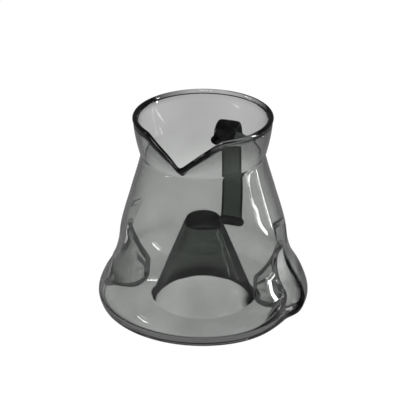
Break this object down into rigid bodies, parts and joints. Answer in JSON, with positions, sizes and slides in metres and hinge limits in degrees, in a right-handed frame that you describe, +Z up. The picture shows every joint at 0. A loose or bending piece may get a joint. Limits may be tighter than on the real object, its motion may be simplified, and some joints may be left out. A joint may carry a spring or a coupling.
{
  "type": "glass pour-over flask",
  "caption": "Smoked-glass pour-over flask: flared filter collar with a pouring lip, conical body, hollow inner cone, strap handle and finger pockets.",
  "frame": {"origin": "centre of the base, on the surface that the flask stands on", "axes": "+Z up along the flask's axis; the pouring lip points along -Y and the strap handle stands at +Y; the finger pockets are on +X and -X"},
  "size_m": [0.132, 0.132, 0.1256],
  "materials": {
    "smoked_glass": "clear smoke-grey blown glass, polished",
    "collar_glass": "clear smoke-grey glass, fire-polished edge",
    "cone_glass": "smoke-grey glass, a little darker where it is thick",
    "handle_glass": "solid drawn smoke-grey glass, near black through its width"
  },
  "bodies": {
    "root": {"flask_body": "smoked_glass", "base_floor": "smoked_glass", "left_grip_pocket": "smoked_glass", "right_grip_pocket": "smoked_glass", "filter_collar": "collar_glass", "rim_bead": "collar_glass", "inner_cone": "cone_glass", "cone_cap": "cone_glass", "handle_strap": "handle_glass", "handle_upper_weld": "handle_glass", "handle_lower_weld": "handle_glass"}
  },
  "joints": []
}
